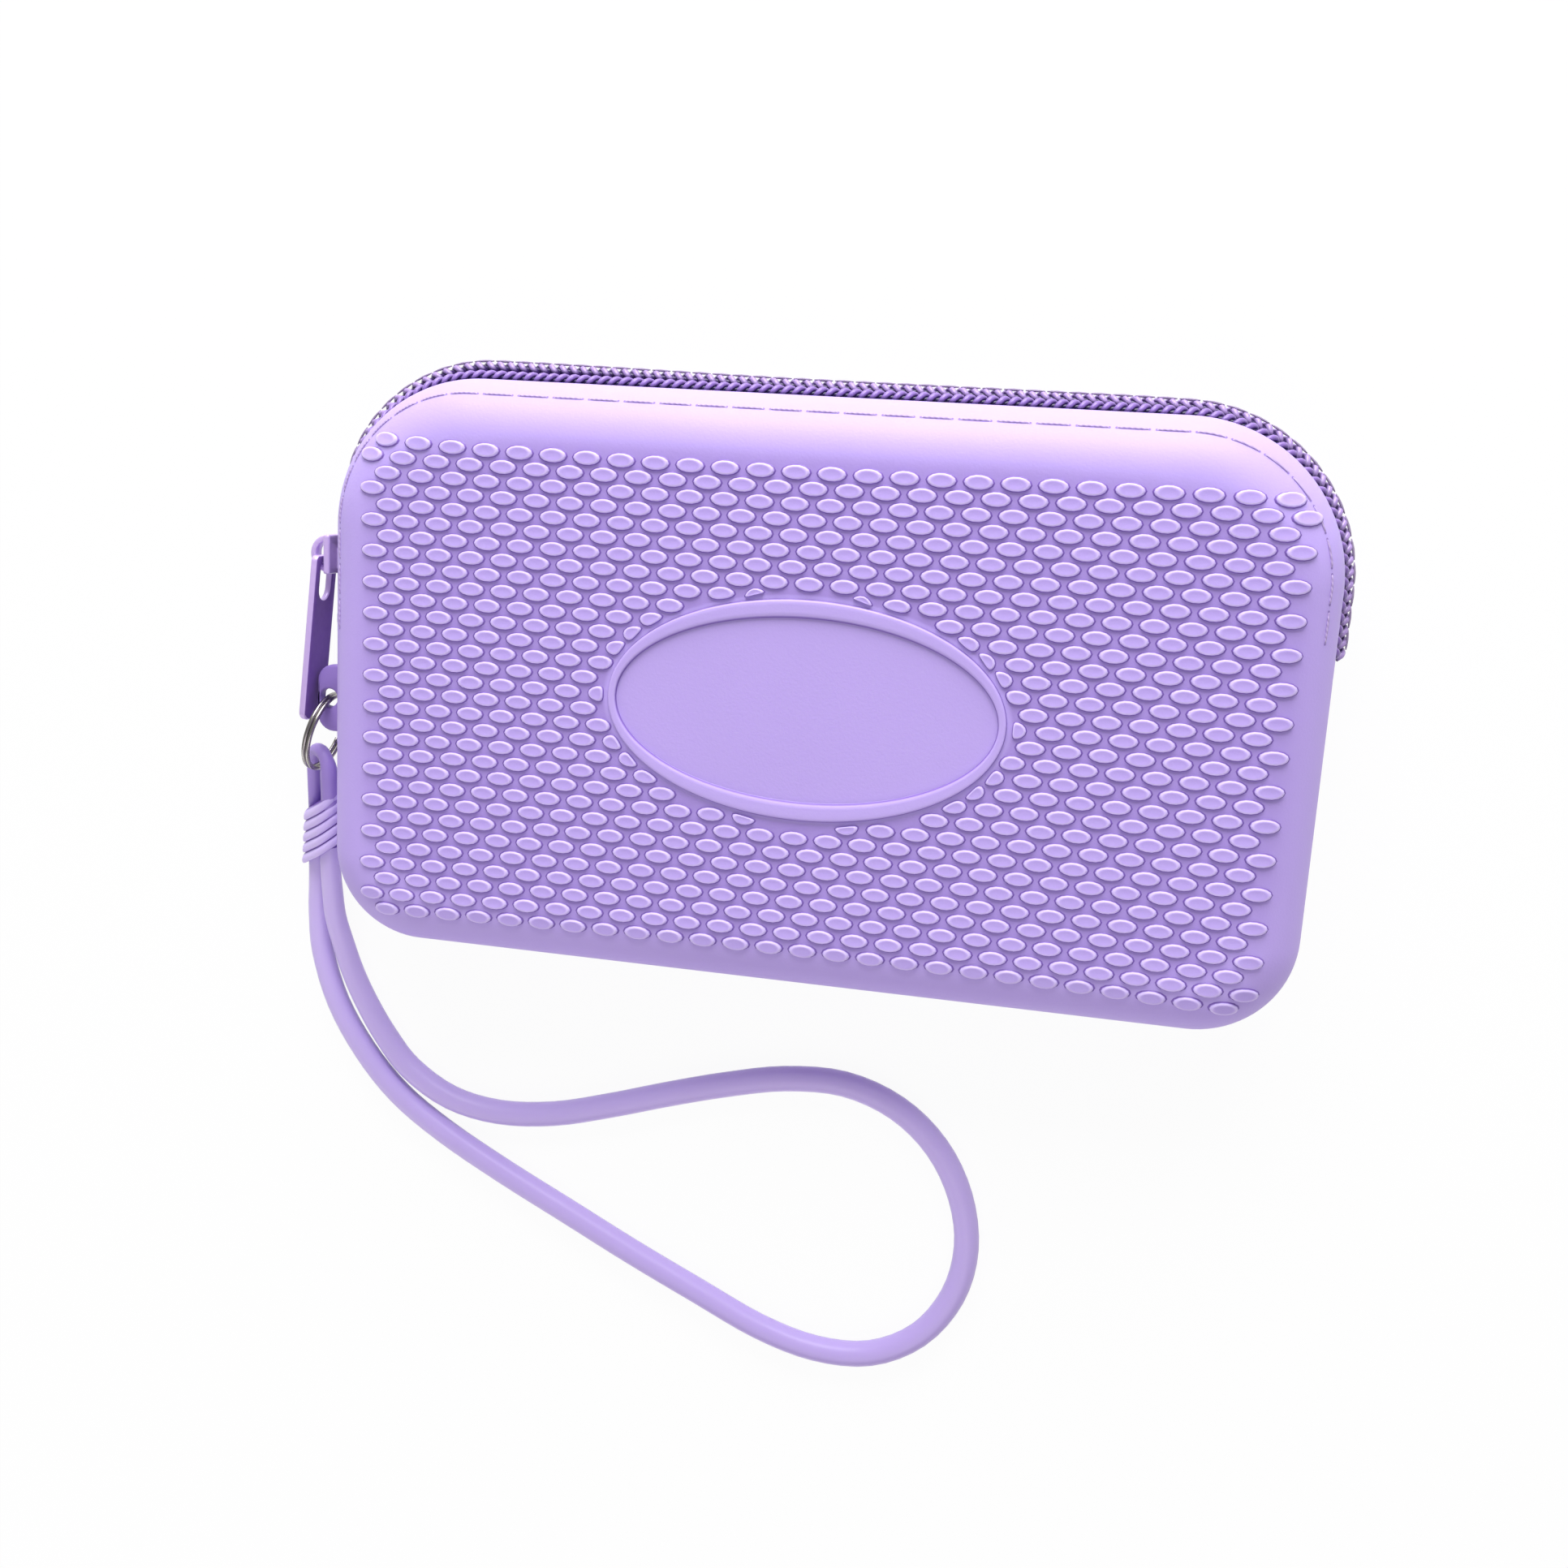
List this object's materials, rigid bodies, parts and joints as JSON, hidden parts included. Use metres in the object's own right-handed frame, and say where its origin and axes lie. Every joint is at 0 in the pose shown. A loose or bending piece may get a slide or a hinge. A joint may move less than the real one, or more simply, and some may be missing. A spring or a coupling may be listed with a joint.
{
  "type": "keychain wallet",
  "caption": "Zip-round silicone wallet with two moulded half shells, bumped grip face, oval frame, side tab with split ring, and corded wrist strap.",
  "frame": {"origin": "centre of the flat back face, on which the wallet lies", "axes": "+X across the wallet to the right, as seen from the patterned face; +Y from the closed bottom edge to the zipper side; +Z out of the patterned face"},
  "size_m": [0.1649, 0.1625, 0.0246],
  "materials": {
    "silicone": "soft matte moulded silicone, lavender",
    "silicone_dark": "soft matte silicone, darker lavender",
    "tape": "woven polyester zipper tape, purple",
    "coil": "nylon zipper coil, lilac with dark grooves",
    "thread": "lilac sewing thread",
    "slider_metal": "satin lilac enamel on die-cast metal",
    "steel": "plated steel wire",
    "strap": "satin silicone cord, light lavender"
  },
  "bodies": {
    "case": {"back_shell": "silicone", "seam_gusset": "silicone_dark", "back_tape": "tape", "back_coil": "coil", "back_stitching": "thread", "left_stop_back": "coil", "right_stop": "silicone_dark", "side_tab": "silicone_dark"},
    "front": {"front_shell": "silicone", "grip_bumps": "silicone", "oval_frame": "silicone", "front_tape": "tape", "front_coil": "coil", "front_stitching": "thread", "left_stop_front": "coil"},
    "slider": {"slider_body": "slider_metal", "slider_bridge": "slider_metal"},
    "pull": {"pull_tab": "slider_metal"},
    "ring": {"split_ring": "steel"},
    "strap": {"strap_eye": "strap", "strap_collar": "strap", "wrist_strap": "strap"}
  },
  "joints": [
    {"name": "mouth_hinge", "type": "hinge", "parent": "case", "child": "front", "pos_m": [0, -0.04425, 0.012], "axis": [1, 0, 0], "range_deg": [0, 40]},
    {"name": "slider_travel", "type": "slide", "parent": "case", "child": "slider", "axis": [0, 1, 0], "range_m": [-0.0024, 0.0056]},
    {"name": "pull_hinge", "type": "hinge", "parent": "slider", "child": "pull", "pos_m": [-0.0798, 0.01523, 0.012], "axis": [0, 0, -1], "range_deg": [0, 160]},
    {"name": "ring_swing", "type": "hinge", "parent": "case", "child": "ring", "pos_m": [-0.0786, -0.007, 0.012], "axis": [0, 0, -1], "range_deg": [0, 20]},
    {"name": "strap_swing", "type": "hinge", "parent": "ring", "child": "strap", "pos_m": [-0.08178, -0.01886, 0.00917], "axis": [0, 0, -1], "range_deg": [0, 30]}
  ]
}
